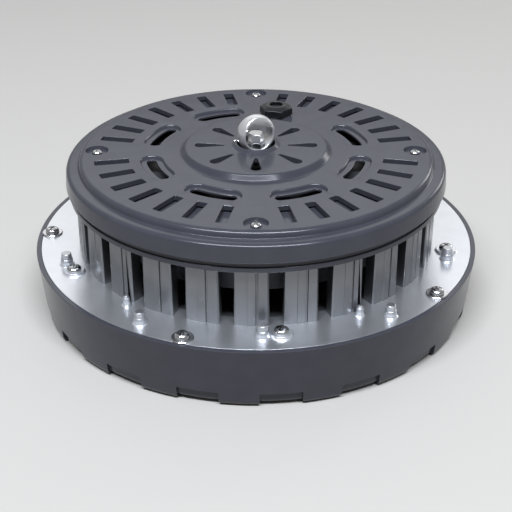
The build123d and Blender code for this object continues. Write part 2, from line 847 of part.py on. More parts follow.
# Shield: a dished ring close under the radial vents, which keeps drips off the driver
with BuildPart() as vent_shield:
    with BuildSketch(Plane.XY.offset(cover_under)):
        Circle(shield_outer_radius)
        Circle(shield_inner_radius, mode=Mode.SUBTRACT)
    extrude(amount=-shield_drop - shield_wall)
    with BuildSketch(Plane.XY.offset(cover_under)):
        Circle(shield_outer_radius - shield_wall)
        Circle(shield_inner_radius + shield_wall, mode=Mode.SUBTRACT)
    extrude(amount=-shield_drop, mode=Mode.SUBTRACT)
    with BuildSketch(Plane.XY.offset(shield_top)):
        with Locations(*cover_screws_at):
            Circle(cover_boss_radius + shield_gap)
    extrude(amount=-shield_wall, mode=Mode.SUBTRACT)
save(vent_shield.part, "vent_shield")

cover_screw = domed_screw(cover_screw_head, cover_screw_height, cover_screw_shank, cover_screw_length)
cover_screw_seat = cover_top - screw_recess_depth
cover_screw_places = spread(cover_screw_circle, cover_screw_count, cover_screw_angle, cover_screw_seat)
save(placed(cover_screw, cover_screw_places), "cover_screws")

# Hanging ring: a barrel-shaped band, narrower at its crown, with a flat foot and a spot face
# inside for the bolt. Its own axis lies level, turned from the front of the light.
ring_axis = Vector(sin(radians(ring_turn)), -cos(radians(ring_turn)), 0)
ring_side = Plane(origin=(0, 0, ring_middle), x_dir=ring_axis, z_dir=ring_axis.cross(Vector(0, 0, 1)))
ring_half = ring_width / 2
crown_half = ring_crown_width / 2
with BuildPart() as hanging_ring:
    with BuildSketch(ring_side):
        with BuildLine():
            ring_outer = ThreePointArc(
                (-ring_half, ring_face_radius),
                (0, ring_radius),
                (ring_half, ring_face_radius),
            )
            Polyline(
                ring_outer @ 1,
                (ring_half, ring_bore_radius),
                (-ring_half, ring_bore_radius),
                ring_outer @ 0,
            )
        make_face()
    revolve(axis=Axis((0, 0, ring_middle), tuple(ring_axis)))
    with BuildSketch(ring_side):
        with BuildLine():
            Polyline(
                (-ring_half - cut_margin, ring_foot - ring_radius),
                (ring_half + cut_margin, ring_foot - ring_radius),
                (ring_half + cut_margin, ring_radius - ring_crown_drop),
                (ring_half, ring_radius - ring_crown_drop),
                (crown_half, ring_radius + cut_margin),
                (-crown_half, ring_radius + cut_margin),
                (-ring_half, ring_radius - ring_crown_drop),
                (-ring_half - cut_margin, ring_radius - ring_crown_drop),
                close=True,
            )
        make_face()
    extrude(amount=ring_radius + cut_margin, both=True, mode=Mode.INTERSECT)
    with BuildSketch(Plane.XY.offset(ring_spot)):
        Circle(ring_spot_radius)
    extrude(amount=ring_bore_radius, mode=Mode.SUBTRACT)
    with BuildSketch(Plane.XY.offset(cup_floor)):
        Circle(ring_bolt_radius + hole_clearance)
    extrude(amount=ring_bore_radius, mode=Mode.SUBTRACT)
save(hanging_ring.part, "hanging_ring")

with BuildPart() as ring_nut:
    with BuildSketch(Plane.XY.offset(ring_spot)):
        RegularPolygon(ring_nut_flats / 2, 6, major_radius=False)
        Circle(ring_bolt_radius + hole_clearance, mode=Mode.SUBTRACT)
    extrude(amount=ring_nut_height)
save(ring_nut.part, "ring_nut")

with BuildPart() as ring_bolt:
    with BuildSketch(Plane.XY.offset(ring_bolt_seat)):
        Circle(ring_bolt_radius)
    extrude(amount=-ring_bolt_length)
    with BuildSketch(Plane.XY.offset(ring_bolt_seat)):
        RegularPolygon(ring_bolt_flats / 2, 6, major_radius=False)
    extrude(amount=ring_bolt_head)
    chamfer(ring_bolt.faces().sort_by(Axis.Z)[-1].edges(), ring_bolt_chamfer)
save(ring_bolt.part, "ring_bolt")

with BuildPart() as lock_screw:
    with BuildSketch(Plane.YZ.offset(cup_radius)):
        with Locations((0, disc_top + hub_height / 2)):
            Circle(lock_screw_radius)
    extrude(amount=lock_screw_length)
save(lock_screw.part.moved(Location((0, 0, 0), (0, 0, lock_screw_angle))), "lock_screw")

# Cable gland: hexagon body with a stem through the cover, washer, seal and locknut
gland_place = polar(gland_circle, gland_angle)
seal_radius = seal_bore_radius + seal_wall
with BuildPart() as gland_body:
    with BuildSketch(Plane.XY.offset(gland_base)):
        RegularPolygon(gland_flats / 2, 6, major_radius=False)
    extrude(amount=gland_hex_height + gland_dome)
    with BuildSketch(Plane.XZ):
        with BuildLine():
            Polyline(
                (0, gland_base),
                (gland_flats, gland_base),
                (gland_flats, gland_top - gland_dome),
                (gland_flats / 2 + gland_rim / 2, gland_top - gland_dome),
                (gland_bore_radius + gland_rim, gland_top),
                (0, gland_top),
                close=True,
            )
        make_face()
    revolve(axis=Axis.Z, mode=Mode.INTERSECT)
    with BuildSketch(Plane.XY.offset(cover_under - gland_stem_length)):
        Circle(gland_stem_radius)
    extrude(amount=gland_base - cover_under + gland_stem_length)
    with BuildSketch(Plane.XY.offset(gland_top)):
        Circle(gland_bore_radius)
    extrude(amount=-gland_bore_depth, mode=Mode.SUBTRACT)
    with BuildSketch(Plane.XY.offset(seal_top)):
        Circle(seal_radius)
    extrude(amount=cover_under - gland_stem_length - seal_top, mode=Mode.SUBTRACT)
save(gland_body.part.moved(gland_place), "gland_body")

with BuildPart() as gland_seal:
    with BuildSketch(Plane.XY.offset(seal_top)):
        Circle(seal_radius - hole_clearance)
        Circle(seal_bore_radius, mode=Mode.SUBTRACT)
    extrude(amount=-seal_length)
save(gland_seal.part.moved(gland_place), "gland_seal")

with BuildPart() as gland_washer:
    with BuildSketch(Plane.XY.offset(cover_top)):
        Circle(gland_flats / 2)
        Circle(gland_stem_radius + hole_clearance, mode=Mode.SUBTRACT)
    extrude(amount=gland_washer_thickness)
save(gland_washer.part.moved(gland_place), "gland_washer")

with BuildPart() as gland_locknut:
    with BuildSketch(Plane.XY.offset(cover_under)):
        RegularPolygon(locknut_flats / 2, 6, major_radius=False)
        Circle(gland_stem_radius + hole_clearance, mode=Mode.SUBTRACT)
    extrude(amount=-locknut_height)
save(gland_locknut.part.moved(gland_place), "gland_locknut")
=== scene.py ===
import json
from math import acos, cos, pi, radians, sin, sqrt

import bmesh
import bpy
from mathutils import Matrix, Vector


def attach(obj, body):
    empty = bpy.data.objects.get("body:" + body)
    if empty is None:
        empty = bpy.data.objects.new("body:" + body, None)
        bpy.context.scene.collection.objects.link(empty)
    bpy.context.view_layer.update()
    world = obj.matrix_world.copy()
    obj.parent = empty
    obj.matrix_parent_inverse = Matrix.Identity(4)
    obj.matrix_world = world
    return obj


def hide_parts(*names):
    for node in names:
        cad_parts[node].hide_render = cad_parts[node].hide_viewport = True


# High bay light, standing on its bezel. The sizes below are millimetres, and mm turns them to metres.
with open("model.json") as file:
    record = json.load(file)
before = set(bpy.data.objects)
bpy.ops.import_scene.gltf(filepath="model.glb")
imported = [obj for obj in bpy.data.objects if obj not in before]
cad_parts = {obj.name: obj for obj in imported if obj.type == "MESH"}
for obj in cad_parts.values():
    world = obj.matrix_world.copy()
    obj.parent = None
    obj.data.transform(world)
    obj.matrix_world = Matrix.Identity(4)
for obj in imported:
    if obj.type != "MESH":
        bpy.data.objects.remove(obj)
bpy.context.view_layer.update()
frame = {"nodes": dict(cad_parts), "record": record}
mm = 0.001
slotOf = {part["node"]: part["material_slot"] for part in frame["record"]["subparts"]}
print("frame loaded:", len(frame["nodes"]), "nodes")

# finishes: two near colours, a roughness range, the scales of mottle and grain, and the grain's depth;
# shine is how strong the clear reflection is, 0.5 where it isn't given
finishes = {
    "charcoal_paint": {"colours": ((0.040, 0.041, 0.051), (0.046, 0.047, 0.058)), "metallic": 0.0,
                       "shine": 0.28, "roughness": (0.17, 0.21), "mottle": 70, "grain": 2400, "depth": 0.035},
    "opal_lens": {"colours": ((0.84, 0.84, 0.84), (0.88, 0.88, 0.875)), "metallic": 0.0,
                  "roughness": (0.38, 0.46), "mottle": 12, "grain": 1500, "depth": 0.03},
    "seal_rubber": {"colours": ((0.035, 0.035, 0.038), (0.05, 0.05, 0.053)), "metallic": 0.0,
                    "roughness": (0.55, 0.7), "mottle": 160, "grain": 3000, "depth": 0.12},
    "white_plastic": {"colours": ((0.82, 0.82, 0.81), (0.88, 0.88, 0.87)), "metallic": 0.0,
                      "roughness": (0.3, 0.42), "mottle": 90, "grain": 2500, "depth": 0.05},
    "board_aluminium": {"colours": ((0.74, 0.75, 0.75), (0.82, 0.82, 0.82)), "metallic": 0.1,
                        "roughness": (0.35, 0.45), "mottle": 60, "grain": 2000, "depth": 0.04},
    "led_yellow": {"colours": ((0.8, 0.62, 0.16), (0.88, 0.74, 0.28)), "metallic": 0.0,
                   "roughness": (0.3, 0.4), "mottle": 400, "grain": 5000, "depth": 0.08},
    "screw_steel": {"colours": ((0.58, 0.59, 0.6), (0.7, 0.7, 0.72)), "metallic": 1.0,
                    "roughness": (0.14, 0.24), "mottle": 300, "grain": 4000, "depth": 0.04},
    "cast_aluminium": {"colours": ((0.79, 0.81, 0.85), (0.86, 0.88, 0.92)), "metallic": 0.91,
                       "roughness": (0.27, 0.35), "mottle": 55, "grain": 1800, "depth": 0.08},
    "lead_sheath": {"colours": ((0.5, 0.05, 0.04), (0.62, 0.08, 0.06)), "metallic": 0.0,
                    "roughness": (0.35, 0.45), "mottle": 300, "grain": 4000, "depth": 0.05},
    "driver_paint": {"colours": ((0.04, 0.042, 0.048), (0.055, 0.057, 0.064)), "metallic": 0.0,
                     "roughness": (0.4, 0.52), "mottle": 80, "grain": 2600, "depth": 0.08},
    "circuit_green": {"colours": ((0.02, 0.13, 0.05), (0.035, 0.18, 0.075)), "metallic": 0.0,
                      "roughness": (0.25, 0.35), "mottle": 220, "grain": 3000, "depth": 0.06},
    "coil_plastic": {"colours": ((0.5, 0.36, 0.08), (0.62, 0.46, 0.13)), "metallic": 0.0,
                     "roughness": (0.35, 0.45), "mottle": 200, "grain": 2800, "depth": 0.08},
    "capacitor_can": {"colours": ((0.025, 0.03, 0.06), (0.035, 0.042, 0.08)), "metallic": 0.0,
                      "roughness": (0.28, 0.38), "mottle": 200, "grain": 3000, "depth": 0.04},
    "ring_chrome": {"colours": ((0.74, 0.74, 0.74), (0.8, 0.8, 0.8)), "metallic": 0.76,
                    "roughness": (0.26, 0.33), "mottle": 160, "grain": 5000, "depth": 0.02},
    "nut_steel": {"colours": ((0.2, 0.205, 0.215), (0.27, 0.275, 0.29)), "metallic": 1.0,
                  "roughness": (0.3, 0.4), "mottle": 300, "grain": 4000, "depth": 0.05},
    "gland_plastic": {"colours": ((0.006, 0.0065, 0.008), (0.009, 0.0095, 0.011)), "metallic": 0.0,
                      "roughness": (0.3, 0.38), "mottle": 240, "grain": 3500, "depth": 0.06},
}
texture = {"mottleDetail": 4, "mottleBand": (0.32, 0.68), "grainDetail": 2, "grainHeight": 0.2}


def addFinish(name, look):
    material = bpy.data.materials.new(name + "Finish")
    material.use_nodes = True
    nodes = material.node_tree.nodes
    link = material.node_tree.links.new
    shader = nodes["Principled BSDF"]
    shader.inputs["Metallic"].default_value = look["metallic"]
    shader.inputs["Specular IOR Level"].default_value = look.get("shine", 0.5)
    place = nodes.new("ShaderNodeTexCoord")
    mottle = nodes.new("ShaderNodeTexNoise")  # slow drift in the colour and the gloss
    mottle.inputs["Scale"].default_value = look["mottle"]
    mottle.inputs["Detail"].default_value = texture["mottleDetail"]
    link(place.outputs["Object"], mottle.inputs["Vector"])
    tint = nodes.new("ShaderNodeValToRGB")
    for stop, position, colour in zip(tint.color_ramp.elements, texture["mottleBand"], look["colours"]):
        stop.position = position
        stop.color = (*colour, 1)
    link(mottle.outputs["Fac"], tint.inputs["Fac"])
    link(tint.outputs["Color"], shader.inputs["Base Color"])
    gloss = nodes.new("ShaderNodeMapRange")
    gloss.inputs["To Min"].default_value = look["roughness"][0]
    gloss.inputs["To Max"].default_value = look["roughness"][1]
    link(mottle.outputs["Fac"], gloss.inputs["Value"])
    link(gloss.outputs["Result"], shader.inputs["Roughness"])
    grain = nodes.new("ShaderNodeTexNoise")  # orange peel, sand casting or moulding grain
    grain.inputs["Scale"].default_value = look["grain"]
    grain.inputs["Detail"].default_value = texture["grainDetail"]
    link(place.outputs["Object"], grain.inputs["Vector"])
    bump = nodes.new("ShaderNodeBump")
    bump.inputs["Strength"].default_value = look["depth"]
    bump.inputs["Distance"].default_value = texture["grainHeight"] * mm
    link(grain.outputs["Fac"], bump.inputs["Height"])
    link(bump.outputs["Normal"], shader.inputs["Normal"])
    return material


finishOf = {name: addFinish(name, look) for name, look in finishes.items()}


def ramp(tree, source, start, end, low, high):
    node = tree.nodes.new("ShaderNodeMapRange")
    for socket, value in (("From Min", start), ("From Max", end), ("To Min", low), ("To Max", high)):
        node.inputs[socket].default_value = value
    tree.links.new(source, node.inputs["Value"])
    return node.outputs["Result"]


def maths(tree, operation, first, second):
    node = tree.nodes.new("ShaderNodeMath")
    node.operation = operation
    for socket, source in zip(node.inputs, (first, second)):
        if isinstance(source, int):
            socket.default_value = source
        else:
            tree.links.new(source, socket)
    return node.outputs["Value"]


# the columns keep a duller cast skin than the plate, darkened further by painted shade for the dark room they
# face: low and high are the share of the colour kept at their foot and top, so the painted shade deepens
# towards the cover as if in its shadow, posts is how far the posts, studs and pins share in it, and the core
# keys set painted shade inside the ring of columns, where little light reaches
castSkinAndShade = {
    "radius": 130.2, "blend": 1.2, "foot": 44.5, "full": 44.52, "top": 88.0, "low": 0.3, "high": 0.2,
    "postFoot": 46.6, "postFull": 48.0, "posts": 0.4, "core": 117.5, "coreBlend": 1, "corePaintedShade": 0.55,
}


def paintSkinAndShade(material, d):
    tree = material.node_tree
    link = tree.links.new
    shader = tree.nodes["Principled BSDF"]
    tint = shader.inputs["Base Color"].links[0].from_socket
    place = tree.nodes.new("ShaderNodeTexCoord")
    split = tree.nodes.new("ShaderNodeSeparateXYZ")
    link(place.outputs["Object"], split.inputs["Vector"])
    flat = tree.nodes.new("ShaderNodeVectorMath")
    flat.operation = "MULTIPLY"
    flat.inputs[1].default_value = (1, 1, 0)
    link(place.outputs["Object"], flat.inputs[0])
    reach = tree.nodes.new("ShaderNodeVectorMath")  # the distance from the axis
    reach.operation = "LENGTH"
    link(flat.outputs["Vector"], reach.inputs[0])
    height, radius = split.outputs["Z"], reach.outputs["Value"]
    inside = ramp(tree, radius, d["radius"] * mm, (d["radius"] + d["blend"]) * mm, 1, 0)
    above = ramp(tree, height, d["foot"] * mm, d["full"] * mm, 0, 1)
    # painted shade: the columns darken from the foot up to the cover, as if in its shadow
    shade = ramp(tree, height, d["full"] * mm, d["top"] * mm, 1 - d["low"], 1 - d["high"])
    posts = ramp(tree, height, d["postFoot"] * mm, d["postFull"] * mm, 0, d["posts"])
    # painted shade: darker inside the ring of columns, where little light reaches
    core = ramp(tree, radius, d["core"] * mm, (d["core"] + d["coreBlend"]) * mm, d["corePaintedShade"], 0)
    standing = maths(tree, "MAXIMUM", maths(tree, "MULTIPLY", inside, above), posts)
    loss = maths(tree, "MAXIMUM", maths(tree, "MULTIPLY", standing, shade), core)
    # the tint scaled down by the duller cast skin and the painted shade
    shadedTint = tree.nodes.new("ShaderNodeVectorMath")
    shadedTint.operation = "SCALE"
    link(tint, shadedTint.inputs[0])
    link(maths(tree, "SUBTRACT", 1, loss), shadedTint.inputs["Scale"])
    link(shadedTint.outputs["Vector"], shader.inputs["Base Color"])


# the cast aluminium gets a duller skin on its columns, with painted shade over it
paintSkinAndShade(finishOf["cast_aluminium"], castSkinAndShade)
for nodeName, node in frame["nodes"].items():
    for materialSlot in node.material_slots:
        materialSlot.material = finishOf[slotOf[nodeName]]
print("finishes made:", len(finishOf))


# ways of working that the pieces share
smoothBelow = 32  # degrees
sharpAbove = 30


def onlyPick(*pieces):
    if bpy.context.object and bpy.context.object.mode == "EDIT":
        bpy.ops.object.mode_set(mode="OBJECT")
    bpy.ops.object.select_all(action="DESELECT")
    for piece in pieces:
        piece.select_set(True)
    bpy.context.view_layer.objects.active = pieces[0] if pieces else None


def pickVertices(piece, wanted):
    mesh = bmesh.from_edit_mesh(piece.data)
    bpy.ops.mesh.select_mode(type="VERT")
    for vertex in mesh.verts:
        vertex.select = wanted(vertex.co / mm)
    mesh.select_flush_mode()
    bmesh.update_edit_mesh(piece.data)


def turned(name, corners, steps=144):
    # a profile of (radius, height, rounding) corners, drawn by extruding one vertex, then spun round the axis
    onlyPick()
    bpy.ops.mesh.primitive_plane_add(size=mm)
    piece = bpy.context.object
    piece.name = name
    bpy.ops.object.mode_set(mode="EDIT")
    bpy.ops.mesh.select_mode(type="VERT")
    bpy.ops.mesh.select_all(action="SELECT")
    bpy.ops.mesh.merge(type="CENTER")
    bpy.ops.transform.translate(value=(corners[0][0] * mm, 0, corners[0][1] * mm))
    for start, end in zip(corners, corners[1:]):
        step = ((end[0] - start[0]) * mm, 0, (end[1] - start[1]) * mm)
        bpy.ops.mesh.extrude_vertices_move(TRANSFORM_OT_translate={"value": step})
    bpy.ops.mesh.select_all(action="SELECT")
    bpy.ops.mesh.remove_doubles(threshold=0.001 * mm)
    for rounding in sorted({corner[2] for corner in corners if corner[2] > 0}):
        places = [Vector((corner[0], 0, corner[1])) for corner in corners if corner[2] == rounding]
        pickVertices(piece, lambda co: min((co - place).length for place in places) < 0.01)
        bpy.ops.mesh.bevel(offset=rounding * mm, segments=3, affect="VERTICES", clamp_overlap=False)
    bpy.ops.mesh.select_all(action="SELECT")
    bpy.ops.mesh.spin(steps=steps, angle=2 * pi, center=(0, 0, 0), axis=(0, 0, 1))
    bpy.ops.mesh.select_all(action="SELECT")
    bpy.ops.mesh.remove_doubles(threshold=0.001 * mm)
    bpy.ops.mesh.delete_loose()  # the profile's run along the axis
    bpy.ops.mesh.select_all(action="SELECT")
    bpy.ops.mesh.normals_make_consistent(inside=False)
    bpy.ops.object.mode_set(mode="OBJECT")
    return piece


def grown(outline, amount):
    # the same outline, moved out by an amount on the bisector of each corner
    moved = []
    for number, (x, y) in enumerate(outline):
        before = Vector(outline[number - 1])
        after = Vector(outline[(number + 1) % len(outline)])
        here = Vector((x, y))
        first = (here - before).normalized()
        second = (after - here).normalized()
        outward = Vector((first.y + second.y, -first.x - second.x)).normalized()
        moved.append(here + outward * amount / max(0.35, sqrt((1 + first.dot(second)) / 2)))
    return moved


def raised(name, outline, levels):
    # a filled outline, drawn anticlockwise, extruded through (height, growth) levels
    onlyPick()
    bpy.ops.mesh.primitive_circle_add(vertices=len(outline), radius=mm, fill_type="NGON")
    piece = bpy.context.object
    piece.name = name
    bpy.ops.object.mode_set(mode="EDIT")
    bpy.ops.mesh.select_mode(type="VERT")
    bpy.ops.mesh.select_all(action="SELECT")
    mesh = bmesh.from_edit_mesh(piece.data)
    mesh.verts.ensure_lookup_table()
    flat = [Vector((x, y, levels[0][0])) for x, y in grown(outline, levels[0][1])]
    for vertex, place in zip(mesh.verts, flat):
        vertex.co = place * mm
    bmesh.update_edit_mesh(piece.data)
    for height, growth in levels[1:]:
        rise = (0, 0, (height - flat[0].z) * mm)
        bpy.ops.mesh.extrude_region_move(TRANSFORM_OT_translate={"value": rise})
        mesh = bmesh.from_edit_mesh(piece.data)
        top = [Vector((x, y, height)) for x, y in grown(outline, growth)]
        for vertex in [vertex for vertex in mesh.verts if vertex.select]:
            nearest = min(range(len(flat)), key=lambda n: (vertex.co.xy / mm - flat[n].xy).length_squared)
            vertex.co = top[nearest] * mm
        bmesh.update_edit_mesh(piece.data)
        flat = top
    bpy.ops.mesh.select_all(action="SELECT")
    bpy.ops.mesh.normals_make_consistent(inside=False)
    bpy.ops.object.mode_set(mode="OBJECT")
    return piece


def bevelSharp(piece, width, segments=2):
    onlyPick(piece)
    bpy.ops.object.mode_set(mode="EDIT")
    bpy.ops.mesh.select_mode(type="EDGE")
    bpy.ops.mesh.select_all(action="DESELECT")
    bpy.ops.mesh.edges_select_sharp(sharpness=radians(sharpAbove))
    bpy.ops.mesh.bevel(offset=width * mm, segments=segments, affect="EDGES")
    bpy.ops.object.mode_set(mode="OBJECT")


def settled(piece):
    # the place of a piece goes into its mesh
    onlyPick(piece)
    bpy.ops.object.transform_apply(location=True, rotation=True, scale=True)
    return piece


def copied(piece, turn):
    twin = piece.copy()
    twin.data = piece.data.copy()
    bpy.context.scene.collection.objects.link(twin)
    twin.matrix_world = turn @ piece.matrix_world
    return twin


def joined(pieces):
    for piece in pieces:
        settled(piece)
    onlyPick(*pieces)
    if len(pieces) > 1:
        bpy.ops.object.join()
    return bpy.context.object


def aroundAxis(piece, angles):
    # copies at each angle, and the first one goes
    twins = [copied(piece, Matrix.Rotation(radians(angle), 4, "Z")) for angle in angles]
    bpy.data.objects.remove(piece)
    return joined(twins)


def combine(piece, tool, way):
    onlyPick(piece)
    boolean = piece.modifiers.new(way.title(), "BOOLEAN")
    boolean.operation = way
    boolean.object = tool
    boolean.solver = "EXACT"
    bpy.ops.object.modifier_apply(modifier=boolean.name)
    bpy.data.objects.remove(tool)
    return piece


def finished(piece, *nodes, finish=None):
    # shading, finish, slot and body of a piece that stands for CAD nodes
    onlyPick(piece)
    bpy.ops.object.shade_smooth_by_angle(angle=radians(smoothBelow))
    weighted = piece.modifiers.new("Weighted", "WEIGHTED_NORMAL")
    weighted.keep_sharp = True
    bpy.ops.object.modifier_apply(modifier=weighted.name)
    slotName = slotOf[nodes[0]]
    piece.data.materials.clear()
    piece.data.materials.append(finish or finishOf[slotName])
    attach(piece, "root")
    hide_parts(*nodes)
    return piece


def rounds(count, start=0.0):
    return [start + 360 * number / count for number in range(count)]


def ring(radius, count, start=0.0, x=0.0):
    return [(x + radius * cos(radians(a)), radius * sin(radians(a))) for a in rounds(count, start)]


# bezel: a deep cast ring with pockets in its front edge
bezel = {
    "radius": 160.0, "frontRadius": 155.5, "depth": 44.5, "rimRadius": 156.6, "seat": 40.5,
    "openingRadius": 123.0, "lensSeatRadius": 127.0, "channelRadius": 130.0, "front": 4.5, "lip": 2.6,
    "rounding": 5.0, "wall": 5.0, "seal": 1.4,
    "pockets": 18, "pocketAngle": -84.0, "pocketWidth": 28.0, "pocketDepth": 1.8, "pocketHeight": 10.5,
    "pocketReach": 10.5, "pocketCorner": 6.0, "pocketOver": 4.0,
}


def makeBezel():
    b = bezel
    ringBody = turned("bezelRing", [
        (b["openingRadius"], 0, 0.5), (b["frontRadius"], 0, b["rounding"] * 0.93),
        (b["radius"], b["depth"], 0.5), (b["rimRadius"], b["depth"], 0.4), (b["rimRadius"], b["seat"], 0),
        (b["frontRadius"] - b["wall"], b["seat"], 0), (b["frontRadius"] - b["wall"], b["front"], 0),
        (b["channelRadius"], b["front"], 0), (b["channelRadius"], b["seat"] - b["seal"], 0),
        (b["lensSeatRadius"], b["seat"] - b["seal"], 0), (b["lensSeatRadius"], b["lip"], 0),
        (b["openingRadius"], b["lip"], 0), (b["openingRadius"], 0, 0)], steps=180)
    floorRadius = b["frontRadius"] - b["pocketDepth"]
    backRadius = b["radius"] - b["pocketDepth"]
    floorBody = turned("pocketFloor", [
        (0, b["pocketDepth"], 0), (floorRadius, b["pocketDepth"], b["rounding"] - b["pocketDepth"]),
        (backRadius, b["depth"], 0), (0, b["depth"], 0), (0, b["pocketDepth"], 0)], steps=180)
    half = b["pocketWidth"] / 2
    inner = b["frontRadius"] - b["pocketReach"]
    outer = b["radius"] + b["pocketOver"]
    outline = []
    corners = ((inner, -half, 180), (outer, -half, 270), (outer, half, 0), (inner, half, 90))
    for cornerX, cornerY, start in corners:
        r = b["pocketCorner"] if cornerX == inner else 1.0
        centreX = cornerX + (r if cornerX == inner else -r)
        centreY = cornerY + (r if cornerY < 0 else -r)
        for number in range(7):
            a = radians(start + 15 * number)
            outline.append((centreX + r * cos(a), centreY + r * sin(a)))
    block = raised("pocketBlock", outline, [(-3, 0), (b["pocketHeight"], 0)])
    blocks = aroundAxis(block, rounds(b["pockets"], b["pocketAngle"]))
    combine(blocks, floorBody, "DIFFERENCE")
    combine(ringBody, blocks, "DIFFERENCE")
    return finished(ringBody, "bezel_ring")


makeBezel()
print("bezel made")

# top cover: stepped cap with its skirt over a recessed band and a low lip, raised disc, hub and vents
cover = {
    "top": 110.8, "under": 107.4, "sheet": 3.4, "topRadius": 125.5, "ledgeTop": 106.0, "ledgeUnder": 102.6,
    "ledgeRadius": 134.3, "radius": 135.3, "edge": 3.6, "ledgeEdge": 3.1, "foot": 93.2, "lipTop": 89.3,
    "lipRadius": 133.0, "skirtRadius": 131.6, "skirtFoot": 85.8, "skirtInner": 129.2, "skirtInnerWall": 126.9,
    "columnTop": 88.0, "discTop": 115.0, "discRadius": 50.2, "discSlope": 3.3,
    "hubTop": 117.0, "hubRadius": 16.5, "hubInner": 17.0, "hubBottom": 102.0, "stemRadius": 8.0,
    "cupRadius": 13.55, "cupFloor": 111.0, "over": 2,
    "vents": 32, "ventSkip": 8, "ventCircle": 102.5, "ventLength": 24.0, "ventWidth": 7.4, "ventCorner": 0.9,
    "ventMouth": 0.45, "arcs": 8, "arcStart": 22.5, "arcCircle": 74.75, "arcWidth": 7.0, "arcSpan": 20.5,
    "arcMouth": 0.4, "recessWidth": 16.5, "recessSpan": 18.5, "recessDepth": 2.0,
    "glandAngle": 77.5, "glandCircle": 70.7, "glandHole": 8.15, "glandClear": 22.5,
    "screws": 4, "screwCircle": 113.2, "screwRecess": 8.2, "screwDepth": 2.2, "bossRadius": 5.0,
    "petals": 8, "petalOut": 39.8, "petalOutRadius": 3.7, "petalIn": 23.6, "petalInRadius": 1.1,
    "petalDepth": 4.4, "petalMouth": 0.4,
}


def rimLevels(bottom, surface, width):
    # straight through the wall, then a rounded mouth that opens at the surface
    return [(bottom, 0), (surface - width, 0), (surface - 0.45 * width, 0.12 * width),
            (surface - 0.12 * width, 0.45 * width), (surface, width), (surface + 2, width)]


def bentStadium(circle, width, span):
    # a slot that follows a circle, with round ends
    parts = 14
    half = width / 2
    length = radians(span) * circle
    straight = []
    for number in range(parts + 1):
        straight.append((half, -length / 2 + length * number / parts))
    for a in range(20, 180, 20):
        straight.append((half * cos(radians(a)), length / 2 + half * sin(radians(a))))
    for number in range(parts + 1):
        straight.append((-half, length / 2 - length * number / parts))
    for a in range(200, 360, 20):
        straight.append((half * cos(radians(a)), -length / 2 + half * sin(radians(a))))
    return [((circle + x) * cos(y / circle), (circle + x) * sin(y / circle)) for x, y in straight]


def roundedBar(centre, length, width, corner):
    outline = []
    for sideX, sideY, start in ((1, -1, 270), (1, 1, 0), (-1, 1, 90), (-1, -1, 180)):
        for number in range(4):
            a = radians(start + 30 * number)
            outline.append((centre + sideX * (length / 2 - corner) + corner * cos(a),
                            sideY * (width / 2 - corner) + corner * sin(a)))
    return outline


def teardrop(outX, outRadius, inX, inRadius):
    lean = acos((outRadius - inRadius) / (outX - inX))
    outline = []
    for number in range(15):
        a = -(pi - lean) + 2 * (pi - lean) * number / 14
        outline.append((outX + outRadius * cos(a), outRadius * sin(a)))
    for number in range(9):
        a = (pi - lean) + 2 * lean * number / 8
        outline.append((inX + inRadius * cos(a), inRadius * sin(a)))
    return outline


